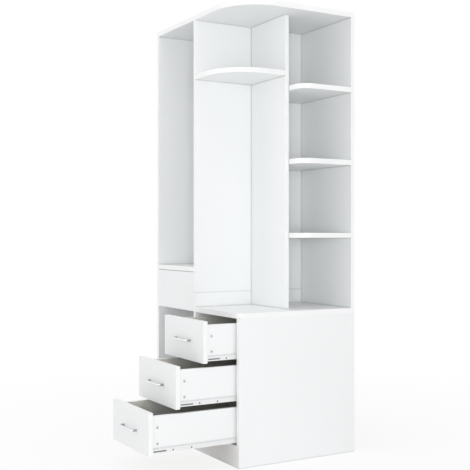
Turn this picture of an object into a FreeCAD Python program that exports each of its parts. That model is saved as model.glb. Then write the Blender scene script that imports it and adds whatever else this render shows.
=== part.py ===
import FreeCAD, Part
import os
import Sketcher

# Open corner wardrobe: a tall left bay, a chest of three drawers on roller runners in the right bay,
# and above the chest a hanging niche in front of a shelf column that opens to the right.
# Millimetres, +Z up, +X to the right, the drawers pull out along -Y.
# The origin is on the floor, in the middle of the footprint.

# Driving sizes: name, millimetres, what it is
SIZES = (
    ("overall_width", 800, "outer width of the carcass"),
    ("overall_depth", 600, "outer depth of the carcass"),
    ("overall_height", 1970, "floor to the upper face of the top"),
    ("board", 19, "thickness of uprights, plinths, bottoms and drawer fronts"),
    ("shelf_board", 22, "thickness of the top, the chest top and the shelves"),
    ("back_sheet", 3, "thickness of the fibreboard backs"),
    ("back_inset", 12, "rear face of the carcass to the fibreboard backs"),
    ("groove_depth", 6, "depth of the grooves that hold fibreboard sheets"),
    ("groove_play", 0.2, "play on each side of a sheet in its groove"),
    ("plinth_height", 73, "height of the plinths under the bottom boards"),
    ("chest_height", 645, "floor to the upper face of the chest top"),
    ("divider_joint", 711, "height of the joint between the two boards of the divider"),
    ("left_shelf_top", 827, "upper face of the shelf in the left bay"),
    ("apron_height", 178, "height of the fixed apron under the left shelf"),
    ("apron_gap", 2, "shadow gap between the apron and the left shelf"),
    ("partition_setback", 296, "front of the carcass to the front of the partition"),
    ("partition_inset", 102, "right face of the carcass to the free edge of the partition"),
    ("hat_room", 248, "upper face of the hat shelf to the underside of the top"),
    ("first_shelf_top", 982, "upper face of the lowest shelf in the column"),
    ("shelf_pitch", 326, "rise from one column shelf to the next"),
    ("top_corner", 198, "corner radius of the top"),
    ("hat_corner", 190, "corner radius of the hat shelf"),
    ("chest_corner", 22, "corner radius of the chest top"),
    ("shelf_corner", 58, "corner radius of the column shelves"),
    ("dowel_radius", 4, "radius of the wooden dowels"),
    ("dowel_length", 30, "length of the wooden dowels"),
    ("dowel_seat", 9, "depth of a dowel in the face of a board"),
    ("dowel_play", 0.05, "radial play of a dowel in its hole"),
    ("dowel_end_play", 0.3, "play past each end of a dowel"),
    ("dowel_edge", 70, "edge of a board to its nearest dowel"),
    ("shelf_dowel_edge", 60, "edge of a column shelf to its nearest dowel"),
    ("apron_dowel_rise", 35, "lower edge of the apron to its dowels"),
    ("front_gap", 3, "gap on each side of a drawer front"),
    ("front_rise", 2.5, "gap below a drawer front"),
    ("front_headroom", 5, "gap between the top drawer front and the chest top"),
    ("bottom_pull", 400, "how far the bottom drawer stands open"),
    ("middle_pull", 280, "how far the middle drawer stands open"),
    ("top_pull", 155, "how far the top drawer stands open"),
    ("drawer_travel", 420, "full travel of a drawer, from closed to its stop"),
    ("drawer_board", 16, "thickness of drawer sides and backs"),
    ("drawer_sheet", 3, "thickness of the drawer bottoms"),
    ("drawer_length", 545, "length of a drawer box behind its front"),
    ("side_lift", 9, "lower edge of a drawer front to the lower edge of its sides"),
    ("side_drop", 15.5, "upper edge of a drawer front to the upper edge of its sides"),
    ("bottom_lift", 10, "lower edge of the sides to the drawer bottom"),
    ("cam_radius", 6, "radius of the cam locks in the drawer sides"),
    ("cam_depth", 12.5, "length of a cam lock"),
    ("cam_recess", 0.2, "how far a cam lock lies below the face of the side"),
    ("cam_play", 0.1, "radial play of a cam lock in its pocket"),
    ("cam_setback", 24, "back of the drawer front to the middle of a cam lock"),
    ("cam_rise", 37.5, "lower edge of a drawer side to its lower cam lock"),
    ("cam_spacing", 64, "vertical distance between two cam locks"),
    ("bolt_radius", 2.8, "radius of the bolts that the cam locks pull"),
    ("bolt_seat", 11, "depth of a bolt in the drawer front"),
    ("bolt_play", 0.4, "radial play of a bolt in the side and the cam lock"),
    ("bolt_reach", 2, "how far a bolt reaches past the middle of its cam lock"),
    ("handle_centres", 128, "distance between the two screws of a handle"),
    ("handle_projection", 25, "drawer front to the outer face of the handle"),
    ("handle_bar", 8, "width and thickness of the handle's bar"),
    ("handle_bend", 3, "inner bend radius of the handle"),
    ("handle_soft_edge", 2.8, "edge rounding of the handle's bar"),
    ("handle_rise", 84, "lower edge of the drawer front to the middle of the handle"),
    ("screw_radius", 2, "radius of the handle screws"),
    ("screw_play", 0.2, "radial play of a handle screw in the drawer front"),
    ("screw_reach", 11, "depth of a handle screw in the handle's foot"),
    ("screw_head_radius", 4, "radius of a handle screw's head"),
    ("screw_head_height", 2.5, "height of a handle screw's head"),
    ("runner_space", 12.5, "drawer side to the carcass on each side"),
    ("runner_sheet", 1.2, "thickness of the runners' steel sheet"),
    ("runner_height", 20, "height of the drawer runner"),
    ("runner_leg", 12, "reach of the drawer runner's leg under the side"),
    ("runner_flange", 10.2, "reach of the drawer runner's running flange"),
    ("runner_start", 1, "back of the drawer front to the drawer runner"),
    ("slot_start", 5.5, "front end of the drawer runner to its hook slot"),
    ("slot_length", 57, "length of the hook slot"),
    ("slot_low", 5, "lower edge of the runner to the lower edge of the hook slot"),
    ("slot_height", 5.5, "height of the hook slot"),
    ("slot_recess", 9, "depth of the recess in the drawer side behind the hook slot"),
    ("first_screw", 92, "front end of the drawer runner to its first screw hole"),
    ("screw_pitch", 83, "distance between the screw holes of a runner"),
    ("screw_hole_radius", 2.2, "radius of the runners' screw holes"),
    ("channel_length", 550, "length of the runner channel on the carcass"),
    ("channel_setback", 3, "back of a closed drawer front to the channel"),
    ("channel_inset", 3, "drawer side to the inner edges of the channel's flanges"),
    ("channel_gap", 1, "running flange to the top of the channel"),
    ("channel_notch", 24, "length of the notch over the channel's front roller"),
    ("roller_radius", 7.5, "radius of the nylon rollers"),
    ("roller_width", 7, "width of the nylon rollers"),
    ("roller_chamfer", 0.8, "chamfer of a roller's rim"),
    ("roller_gap", 0.3, "running gap between a roller and its track"),
    ("roller_headroom", 0.7, "room above a drawer roller in the channel"),
    ("roller_side_gap", 0.5, "drawer runner to its roller"),
    ("roller_end_play", 0.3, "roller to the head of its pin"),
    ("roller_setback", 12, "end of a runner to the axis of its roller"),
    ("pin_radius", 2, "radius of the roller pins"),
    ("pin_play", 0.05, "radial play of a roller on its pin"),
    ("pin_head_radius", 3.2, "radius of a roller pin's riveted head"),
    ("pin_head_height", 0.8, "height of a roller pin's riveted head"),
    ("stop_drop", 3, "how far the stop tab hangs below the channel's upper flange"),
    ("stop_width", 4, "width of the stop tab"),
    ("stop_gap", 0.4, "drawer roller to the stop tab when the drawer is full open"),
)

# Places worked out from the driving sizes: name and formula
PLACES = (
    ("right_face", "sizes.overall_width / 2"),
    ("left_face", "-right_face"),
    ("front_face", "-sizes.overall_depth / 2"),
    ("rear_face", "sizes.overall_depth / 2"),
    ("left_inner", "left_face + sizes.board"),
    ("right_inner", "right_face - sizes.board"),
    ("divider_right", "sizes.board / 2"),
    ("divider_left", "-divider_right"),
    ("front_inner", "front_face + sizes.board"),
    ("front_middle", "front_face + sizes.board / 2"),
    ("top_under", "sizes.overall_height - sizes.shelf_board"),
    ("chest_under", "sizes.chest_height - sizes.shelf_board"),
    ("chest_middle", "sizes.chest_height - sizes.shelf_board / 2"),
    ("bottom_top", "sizes.plinth_height + sizes.board"),
    ("bottom_middle", "sizes.plinth_height + sizes.board / 2"),
    ("sheet_rear", "rear_face - sizes.back_inset"),
    ("sheet_front", "sheet_rear - sizes.back_sheet"),
    ("groove_front", "sheet_front - sizes.groove_play"),
    ("groove_rear", "sheet_rear + sizes.groove_play"),
    ("sheet_reach", "sizes.groove_depth - sizes.groove_play"),
    ("rear_panel_front", "rear_face - sizes.board"),
    ("rear_panel_middle", "rear_face - sizes.board / 2"),
    ("partition_front", "front_face + sizes.partition_setback"),
    ("partition_rear", "partition_front + sizes.board"),
    ("partition_middle", "partition_front + sizes.board / 2"),
    ("partition_right", "right_face - sizes.partition_inset"),
    ("left_shelf_under", "sizes.left_shelf_top - sizes.shelf_board"),
    ("left_shelf_middle", "sizes.left_shelf_top - sizes.shelf_board / 2"),
    ("apron_top", "left_shelf_under - sizes.apron_gap"),
    ("apron_low", "apron_top - sizes.apron_height"),
    ("hat_shelf_top", "top_under - sizes.hat_room"),
    ("hat_shelf_under", "hat_shelf_top - sizes.shelf_board"),
    ("hat_shelf_middle", "hat_shelf_top - sizes.shelf_board / 2"),
    ("dowel_front", "front_face + sizes.dowel_edge"),
    ("dowel_rear", "rear_face - sizes.dowel_edge"),
    ("bay_width", "right_inner - divider_right"),
    ("bay_middle", "(right_inner + divider_right) / 2"),
    ("front_half", "bay_width / 2 - sizes.front_gap"),
    ("front_room", "chest_under - bottom_top - sizes.front_headroom"),
    ("front_height", "front_room / 3 - sizes.front_rise"),
    ("bottom_drawer_low", "bottom_top + sizes.front_rise"),
    ("middle_drawer_low", "bottom_drawer_low + front_height + sizes.front_rise"),
    ("top_drawer_low", "middle_drawer_low + front_height + sizes.front_rise"),
    ("side_outer", "bay_width / 2 - sizes.runner_space"),
    ("side_inner", "side_outer - sizes.drawer_board"),
    ("side_middle", "side_outer - sizes.drawer_board / 2"),
    ("side_top", "front_height - sizes.side_drop"),
    ("box_rear", "sizes.board + sizes.drawer_length"),
    ("sheet_low", "sizes.side_lift + sizes.bottom_lift"),
    ("sheet_high", "sheet_low + sizes.drawer_sheet"),
    ("cam_middle", "sizes.board + sizes.cam_setback"),
    ("cam_outer", "side_outer - sizes.cam_recess"),
    ("cam_inner", "cam_outer - sizes.cam_depth"),
    ("lower_cam", "sizes.side_lift + sizes.cam_rise"),
    ("upper_cam", "lower_cam + sizes.cam_spacing"),
    ("handle_width", "sizes.handle_centres + sizes.handle_bar"),
    ("runner_front", "sizes.board + sizes.runner_start"),
    ("runner_low", "sizes.side_lift - sizes.runner_sheet"),
    ("runner_outer", "side_outer + sizes.runner_sheet"),
    ("flange_under", "runner_low + sizes.runner_height - sizes.runner_sheet"),
    ("slot_front", "runner_front + sizes.slot_start"),
    ("slot_rear", "slot_front + sizes.slot_length"),
    ("slot_under", "runner_low + sizes.slot_low"),
    ("slot_top", "slot_under + sizes.slot_height"),
    ("channel_top", "flange_under - sizes.channel_gap"),
    ("channel_ceiling", "channel_top - sizes.runner_sheet"),
    ("channel_room", "2 * sizes.roller_radius + sizes.roller_gap + sizes.roller_headroom"),
    ("channel_floor", "channel_ceiling - channel_room"),
    ("channel_low", "channel_floor - sizes.runner_sheet"),
    ("channel_front", "sizes.board + sizes.channel_setback"),
    ("channel_rear", "channel_front + sizes.channel_length"),
    ("channel_inner", "side_outer + sizes.channel_inset"),
    ("channel_web", "side_outer + sizes.runner_space - sizes.runner_sheet"),
    ("channel_outer", "side_outer + sizes.runner_space"),
    ("screw_height", "(slot_under + slot_top) / 2"),
    ("drawer_axle", "channel_floor + sizes.roller_gap + sizes.roller_radius"),
    ("drawer_axle_depth", "box_rear - sizes.roller_setback"),
    ("drawer_roller_inner", "runner_outer + sizes.roller_side_gap"),
    ("drawer_pin_end", "drawer_roller_inner + sizes.roller_width + sizes.roller_end_play"),
    ("channel_axle", "flange_under - sizes.roller_gap - sizes.roller_radius"),
    ("channel_axle_depth", "channel_front + sizes.roller_setback"),
    ("channel_roller_outer", "side_outer + sizes.runner_flange"),
    ("channel_roller_inner", "channel_roller_outer - sizes.roller_width"),
    ("channel_pin_end", "channel_roller_inner - sizes.roller_end_play"),
    ("stop_low", "channel_ceiling - sizes.stop_drop"),
    ("stop_height", "stop_low - drawer_axle"),
    ("stop_reach", "sqrt(sizes.roller_radius * sizes.roller_radius - stop_height * stop_height)"),
    ("stop_rear", "drawer_axle_depth - sizes.drawer_travel - stop_reach - sizes.stop_gap"),
    ("stop_front", "stop_rear - 2 * sizes.runner_sheet"),
)

AXIS_TURNS = {
    "x": FreeCAD.Rotation(FreeCAD.Vector(0, 1, 0), 90),
    "y": FreeCAD.Rotation(FreeCAD.Vector(1, 0, 0), -90),
    "z": FreeCAD.Rotation(),
}
CROSS_AXES = {"x": ("y", "z"), "y": ("x", "z"), "z": ("x", "y")}
TOUCHING = 1e-6

doc = FreeCAD.newDocument("wardrobe")
subparts = []


def fill_sheets():
    """Write the driving sizes and the places worked out from them into two sheets."""
    sizes = doc.addObject("Spreadsheet::Sheet", "sizes")
    for row, (alias, value, meaning) in enumerate(SIZES, start=1):
        sizes.set(f"A{row}", alias)
        sizes.set(f"B{row}", str(value))
        sizes.set(f"C{row}", meaning)
        sizes.setAlias(f"B{row}", alias)
    places = doc.addObject("Spreadsheet::Sheet", "places")
    for row, (alias, formula) in enumerate(PLACES, start=1):
        places.set(f"A{row}", alias)
        places.set(f"B{row}", f"={formula}")
        places.setAlias(f"B{row}", alias)
    doc.recompute()


def keep(piece, label):
    """Register a finished sub-part under the name of its node."""
    piece.Label = label
    subparts.append(piece)
    return piece


def place(piece, x, y, z):
    """Bind the position of a piece to three formulas."""
    for axis, formula in zip("xyz", (x, y, z)):
        piece.setExpression(f"Placement.Base.{axis}", formula)
    return piece


def box(name, x, y, z):
    """A box between two formulas along each axis."""
    solid = doc.addObject("Part::Box", name)
    for size, (low, high) in zip(("Length", "Width", "Height"), (x, y, z)):
        solid.setExpression(size, f"{high} - ({low})")
    return place(solid, x[0], y[0], z[0])


def rod(name, axis, span, centre, radius):
    """A cylinder along an axis, between two formulas and round a centre in the other two axes."""
    solid = doc.addObject("Part::Cylinder", name)
    solid.Placement = FreeCAD.Placement(FreeCAD.Vector(), AXIS_TURNS[axis])
    solid.setExpression("Height", f"{span[1]} - ({span[0]})")
    solid.setExpression("Radius", radius)
    solid.setExpression(f"Placement.Base.{axis}", span[0])
    for cross_axis, formula in zip(CROSS_AXES[axis], centre):
        solid.setExpression(f"Placement.Base.{cross_axis}", formula)
    return solid


def group(name, pieces):
    """Separate solids in one object."""
    compound = doc.addObject("Part::Compound", name)
    compound.Links = pieces
    return compound


def fuse(name, pieces):
    """One solid from pieces that touch or overlap."""
    joined = doc.addObject("Part::MultiFuse", name)
    joined.Shapes = pieces
    return joined


def cut(name, base, tools):
    """A piece with tools that don't touch each other taken out of it."""
    result = doc.addObject("Part::Cut", name)
    result.Base = base
    result.Tool = group(f"{name}_tools", tools) if len(tools) > 1 else tools[0]
    return result


def mirror(name, source, middle):
    """The left-hand twin of a right-hand piece, about an upright plane at a formula."""
    twin = doc.addObject("Part::Mirroring", name)
    twin.Source = source
    twin.Normal = FreeCAD.Vector(1, 0, 0)
    twin.setExpression("Base.x", middle)
    return twin


def sketch_on(body, role, name):
    """A sketch on one of the body's own origin planes."""
    sketch = body.newObject("Sketcher::SketchObject", name)
    plane = next(item for item in body.Origin.OriginFeatures if item.Role == role)
    sketch.AttachmentSupport = [(plane, "")]
    sketch.MapMode = "FlatFace"
    return sketch


def dimension(sketch, kind, corner, formula):
    """Measure one corner of an outline from the sketch's origin, or hold it on the sketch's axis."""
    crossing_axis = {"DistanceX": -2, "DistanceY": -1}[kind]
    if formula == "0":
        sketch.addConstraint(Sketcher.Constraint("PointOnObject", corner, 1, crossing_axis))
        return
    index = sketch.addConstraint(Sketcher.Constraint(kind, -1, 1, corner, 1, 1.0))
    sketch.setExpression(f"Constraints[{index}]", formula)


def outline(sketch, corners):
    """A closed outline of straight edges whose corners are pairs of formulas."""
    count = len(corners)
    rough = [FreeCAD.Vector(1 + index, 1 + index * index, 0) for index in range(count)]
    for index in range(count):
        sketch.addGeometry(Part.LineSegment(rough[index], rough[(index + 1) % count]))
    for index in range(count):
        sketch.addConstraint(Sketcher.Constraint("Coincident", index, 2, (index + 1) % count, 1))
    for index, (across, along) in enumerate(corners):
        dimension(sketch, "DistanceX", index, across)
        dimension(sketch, "DistanceY", index, along)


def pad(body, sketch, name, length, reverse=False):
    feature = body.newObject("PartDesign::Pad", name)
    feature.Profile = sketch
    feature.Reversed = reverse
    feature.setExpression("Length", length)
    doc.recompute()
    return feature


def fillet(body, base, name, wanted, radius):
    """Round the edges of a feature that a test picks."""
    edges = base.Shape.Edges
    feature = body.newObject("PartDesign::Fillet", name)
    feature.Base = (base, [f"Edge{index}" for index, edge in enumerate(edges, start=1) if wanted(edge)])
    feature.setExpression("Radius", radius)
    doc.recompute()
    return feature


def is_upright(edge):
    first, last = edge.Vertexes[0].Point, edge.Vertexes[-1].Point
    return abs((last - first).z) > 0.5 * edge.Length


def rounded_board(name, x, y, z, radius):
    """A board with its front right corner rounded."""
    body = doc.addObject("PartDesign::Body", f"{name}_blank")
    length, depth = (f"{high} - ({low})" for low, high in (x, y))
    sketch = sketch_on(body, "XY_Plane", f"{name}_outline")
    outline(sketch, (("0", "0"), (length, "0"), (length, depth), ("0", depth)))
    slab = pad(body, sketch, f"{name}_slab", f"{z[1]} - ({z[0]})")
    limits = slab.Shape.BoundBox

    def at_front_right(edge):
        middle = edge.CenterOfMass
        return is_upright(edge) and middle.x > limits.Center.x and middle.y < limits.Center.y

    fillet(body, slab, f"{name}_corner", at_front_right, radius)
    return place(body, x[0], y[0], z[0])


def span(low, high):
    """Two of the places as a pair of formulas."""
    return (f"places.{low}", f"places.{high}")


def shelf_top(number):
    """Upper face of one of the column shelves, counted from below."""
    return f"sizes.first_shelf_top + {number - 1} * sizes.shelf_pitch"


def carcass_blanks():
    """The boards of the carcass before they are drilled and grooved."""
    floor_to_top = ("0", "places.top_under")
    full_depth = span("front_face", "rear_face")
    front_board = span("front_face", "front_inner")
    before_sheet = span("front_face", "groove_front")
    divider = span("divider_left", "divider_right")
    left_bay = span("left_inner", "divider_left")
    right_bay = span("divider_right", "right_inner")
    to_right_face = span("divider_right", "right_face")
    plinth = ("0", "sizes.plinth_height")
    bottom = ("sizes.plinth_height", "places.bottom_top")
    boxes = {
        "left_side_panel": (span("left_face", "left_inner"), full_depth, floor_to_top),
        "right_side_panel": (span("right_inner", "right_face"), full_depth, ("0", "places.chest_under")),
        "divider_lower": (divider, full_depth, ("0", "sizes.divider_joint")),
        "divider_upper": (divider, full_depth, ("sizes.divider_joint", "places.top_under")),
        "left_plinth": (left_bay, front_board, plinth),
        "chest_plinth": (right_bay, front_board, plinth),
        "left_bottom": (left_bay, before_sheet, bottom),
        "chest_bottom": (right_bay, before_sheet, bottom),
        "left_shelf": (left_bay, before_sheet, ("places.left_shelf_under", "sizes.left_shelf_top")),
        "apron": (left_bay, front_board, span("apron_low", "apron_top")),
        "partition": (
            span("divider_right", "partition_right"),
            span("partition_front", "partition_rear"),
            ("sizes.chest_height", "places.top_under"),
        ),
        "rear_panel": (
            to_right_face,
            span("rear_panel_front", "rear_face"),
            ("sizes.chest_height", "places.top_under"),
        ),
    }
    rounded = {
        "top_panel": (
            span("left_face", "right_face"),
            full_depth,
            ("places.top_under", "sizes.overall_height"),
            "sizes.top_corner",
        ),
        "chest_top": (
            to_right_face,
            full_depth,
            ("places.chest_under", "sizes.chest_height"),
            "sizes.chest_corner",
        ),
        "hat_shelf": (
            span("divider_right", "partition_right"),
            span("front_face", "partition_front"),
            span("hat_shelf_under", "hat_shelf_top"),
            "sizes.hat_corner",
        ),
    }
    for number in (1, 2, 3):
        rounded[f"column_shelf_{number}"] = (
            to_right_face,
            span("partition_rear", "rear_panel_front"),
            (f"{shelf_top(number)} - sizes.shelf_board", shelf_top(number)),
            "sizes.shelf_corner",
        )
    blanks = {name: box(f"{name}_blank", *spans) for name, spans in boxes.items()}
    blanks.update({name: rounded_board(name, *spans) for name, spans in rounded.items()})
    return blanks


def dowel_joints():
    """Each dowelled joint: axis, plane, side of the board drilled in its face, centres, two boards."""
    front_rear = ("places.dowel_front", "places.dowel_rear")
    before_sheet = ("places.dowel_front", "places.sheet_front - sizes.dowel_edge")
    left_x = "places.left_face + sizes.board / 2"
    right_x = "places.right_face - sizes.board / 2"
    first_x = "places.divider_right + sizes.dowel_edge"
    partition_x = (first_x, "places.partition_right - sizes.dowel_edge")
    rear_panel_x = (first_x, "places.right_face - sizes.dowel_edge")
    on_partition = [(x, "places.partition_middle") for x in partition_x]
    on_rear_panel = [(x, "places.rear_panel_middle") for x in rear_panel_x]
    on_divider = [("0", y) for y in front_rear]
    on_left_side = [(left_x, y) for y in front_rear]
    on_right_side = [(right_x, y) for y in front_rear]
    on_bottom = [(y, "places.bottom_middle") for y in before_sheet]
    on_left_shelf = [(y, "places.left_shelf_middle") for y in before_sheet]
    on_chest_top = [(y, "places.chest_middle") for y in front_rear]
    on_hat_shelf = [
        (y, "places.hat_shelf_middle")
        for y in ("places.dowel_front", "places.partition_front - sizes.dowel_edge")
    ]
    on_plinth = [("places.front_middle", "sizes.plinth_height / 2")]
    on_apron = [("places.front_middle", "places.apron_low + sizes.apron_dowel_rise")]
    joints = [
        ("z", "places.top_under", "above", on_left_side, ("top_panel", "left_side_panel")),
        ("z", "places.top_under", "above", on_divider, ("top_panel", "divider_upper")),
        ("z", "places.top_under", "above", on_partition, ("top_panel", "partition")),
        ("z", "places.top_under", "above", on_rear_panel, ("top_panel", "rear_panel")),
        ("z", "places.chest_under", "above", on_right_side, ("chest_top", "right_side_panel")),
        ("z", "sizes.chest_height", "below", on_partition, ("chest_top", "partition")),
        ("z", "sizes.chest_height", "below", on_rear_panel, ("chest_top", "rear_panel")),
        ("z", "sizes.divider_joint", "below", on_divider, ("divider_lower", "divider_upper")),
        ("x", "places.divider_right", "below", on_chest_top, ("divider_lower", "chest_top")),
        ("x", "places.divider_right", "below", on_hat_shelf, ("divider_upper", "hat_shelf")),
        ("x", "places.divider_right", "below", on_bottom, ("divider_lower", "chest_bottom")),
        ("x", "places.right_inner", "above", on_bottom, ("right_side_panel", "chest_bottom")),
        ("x", "places.divider_left", "above", on_bottom, ("divider_lower", "left_bottom")),
        ("x", "places.left_inner", "below", on_bottom, ("left_side_panel", "left_bottom")),
        ("x", "places.divider_left", "above", on_left_shelf, ("divider_upper", "left_shelf")),
        ("x", "places.left_inner", "below", on_left_shelf, ("left_side_panel", "left_shelf")),
        ("x", "places.divider_right", "below", on_plinth, ("divider_lower", "chest_plinth")),
        ("x", "places.right_inner", "above", on_plinth, ("right_side_panel", "chest_plinth")),
        ("x", "places.divider_left", "above", on_plinth, ("divider_lower", "left_plinth")),
        ("x", "places.left_inner", "below", on_plinth, ("left_side_panel", "left_plinth")),
        ("x", "places.divider_left", "above", on_apron, ("divider_lower", "apron")),
        ("x", "places.left_inner", "below", on_apron, ("left_side_panel", "apron")),
    ]
    shelf_depths = (
        "places.partition_rear + sizes.shelf_dowel_edge",
        "places.rear_panel_front - sizes.shelf_dowel_edge",
    )
    for number in (1, 2, 3):
        on_shelf = [(y, f"{shelf_top(number)} - sizes.shelf_board / 2") for y in shelf_depths]
        boards = ("divider_upper", f"column_shelf_{number}")
        joints.append(("x", "places.divider_right", "below", on_shelf, boards))
    return joints


def drill_dowels(tools):
    """Dowels across the joints, with a hole for each in both of its boards."""
    dowels = []
    for axis, plane, face_side, centres, boards in dowel_joints():
        seat, rest = "sizes.dowel_seat", "(sizes.dowel_length - sizes.dowel_seat)"
        below, above = (rest, seat) if face_side == "above" else (seat, rest)
        ends = (f"{plane} - {below}", f"{plane} + {above}")
        hole_ends = (f"{ends[0]} - sizes.dowel_end_play", f"{ends[1]} + sizes.dowel_end_play")
        for centre in centres:
            number = len(dowels) + 1
            hole_radius = "sizes.dowel_radius + sizes.dowel_play"
            dowels.append(rod(f"dowel_{number}", axis, ends, centre, "sizes.dowel_radius"))
            hole = rod(f"dowel_hole_{number}", axis, hole_ends, centre, hole_radius)
            for name in boards:
                tools[name].append(hole)
    keep(group("dowels_group", dowels), "carcass_dowels")


def groove_backs(tools):
    """Grooves for the two fibreboard backs, and the backs themselves."""
    bays = {
        "left": ("left_inner", "divider_left", "top_under"),
        "chest": ("divider_right", "right_inner", "chest_under"),
    }
    left_boards = {"left": ["left_side_panel"], "chest": ["divider_lower"]}
    right_boards = {"left": ["divider_lower", "divider_upper"], "chest": ["right_side_panel"]}
    groove_depth = span("groove_front", "groove_rear")
    sheet_depth = span("sheet_front", "sheet_rear")
    for bay, (left, right, top) in bays.items():
        height = ("0", f"places.{top}")
        left_edge = (f"places.{left} - sizes.groove_depth", f"places.{left}")
        right_edge = (f"places.{right}", f"places.{right} + sizes.groove_depth")
        left_groove = box(f"{bay}_groove_left", left_edge, groove_depth, height)
        right_groove = box(f"{bay}_groove_right", right_edge, groove_depth, height)
        for name in left_boards[bay]:
            tools[name].append(left_groove)
        for name in right_boards[bay]:
            tools[name].append(right_groove)
        width = (f"places.{left} - places.sheet_reach", f"places.{right} + places.sheet_reach")
        sheet = box(f"{bay}_back_sheet", width, sheet_depth, ("sizes.plinth_height", f"places.{top}"))
        keep(sheet, f"{bay}_back")


def make_carcass():
    blanks = carcass_blanks()
    tools = {name: [] for name in blanks}
    drill_dowels(tools)
    groove_backs(tools)
    for name, blank in blanks.items():
        keep(cut(f"{name}_board", blank, tools[name]), name)


def make_front(drawer, position):
    """Drawer front with its handle holes, bolt holes and the groove for the bottom."""
    blank = box(
        f"{drawer}_front_blank",
        ("-places.front_half", "places.front_half"),
        ("0", "sizes.board"),
        ("0", "places.front_height"),
    )
    groove = box(
        f"{drawer}_front_groove",
        ("-places.side_inner - sizes.groove_depth", "places.side_inner + sizes.groove_depth"),
        ("sizes.board - sizes.groove_depth", "sizes.board"),
        ("places.sheet_low - sizes.groove_play", "places.sheet_high + sizes.groove_play"),
    )
    tools = [groove]
    for side, sign in (("left", "-"), ("right", "")):
        screw_hole = rod(
            f"{drawer}_{side}_screw_hole",
            "y",
            ("0", "sizes.board"),
            (f"{sign}sizes.handle_centres / 2", "sizes.handle_rise"),
            "sizes.screw_radius + sizes.screw_play",
        )
        tools.append(screw_hole)
        for level in ("lower", "upper"):
            bolt_centre = (f"{sign}places.side_middle", f"places.{level}_cam")
            bolt_span = ("sizes.board - sizes.bolt_seat", "sizes.board")
            name = f"{drawer}_{side}_{level}_bolt_hole"
            tools.append(rod(name, "y", bolt_span, bolt_centre, "sizes.bolt_radius"))
    keep(place(cut(f"{drawer}_front_board", blank, tools), *position), f"{drawer}_front")


def make_sides(drawer, position):
    """Drawer sides with cam pockets, bolt bores, the bottom's groove and the runner's hook recess."""
    blank = box(
        f"{drawer}_side_blank",
        span("side_inner", "side_outer"),
        ("sizes.board", "places.box_rear"),
        ("sizes.side_lift", "places.side_top"),
    )
    groove = box(
        f"{drawer}_side_groove",
        ("places.side_inner", "places.side_inner + sizes.groove_depth"),
        ("sizes.board", "places.box_rear"),
        ("places.sheet_low - sizes.groove_play", "places.sheet_high + sizes.groove_play"),
    )
    recess = box(
        f"{drawer}_hook_recess",
        ("places.side_outer - sizes.slot_recess", "places.side_outer"),
        span("slot_front", "slot_rear"),
        span("slot_under", "slot_top"),
    )
    bores = []
    for level in ("lower", "upper"):
        pocket = rod(
            f"{drawer}_{level}_cam_pocket",
            "x",
            ("places.cam_inner", "places.side_outer"),
            ("places.cam_middle", f"places.{level}_cam"),
            "sizes.cam_radius + sizes.cam_play",
        )
        bore = rod(
            f"{drawer}_{level}_bolt_bore",
            "y",
            ("sizes.board", "places.cam_middle"),
            ("places.side_middle", f"places.{level}_cam"),
            "sizes.bolt_radius + sizes.bolt_play",
        )
        bores.append(fuse(f"{drawer}_{level}_bores", [pocket, bore]))
    right = place(cut(f"{drawer}_side_board", blank, [groove, recess] + bores), *position)
    keep(right, f"{drawer}_side_right")
    keep(mirror(f"{drawer}_side_twin", right, "places.bay_middle"), f"{drawer}_side_left")


def make_back_and_bottom(drawer, position):
    """Drawer back, standing on the fibreboard bottom that lies in the grooves."""
    middle, front, low = position
    half_sheet = "(places.side_inner + places.sheet_reach)"
    back = box(
        f"{drawer}_back_board",
        (f"{middle} - places.side_inner", f"{middle} + places.side_inner"),
        (f"{front} + places.box_rear - sizes.drawer_board", f"{front} + places.box_rear"),
        (f"{low} + places.sheet_high", f"{low} + places.side_top"),
    )
    bottom = box(
        f"{drawer}_bottom_sheet",
        (f"{middle} - {half_sheet}", f"{middle} + {half_sheet}"),
        (f"{front} + sizes.board - places.sheet_reach", f"{front} + places.box_rear"),
        (f"{low} + places.sheet_low", f"{low} + places.sheet_high"),
    )
    keep(back, f"{drawer}_back")
    keep(bottom, f"{drawer}_bottom")


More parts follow.
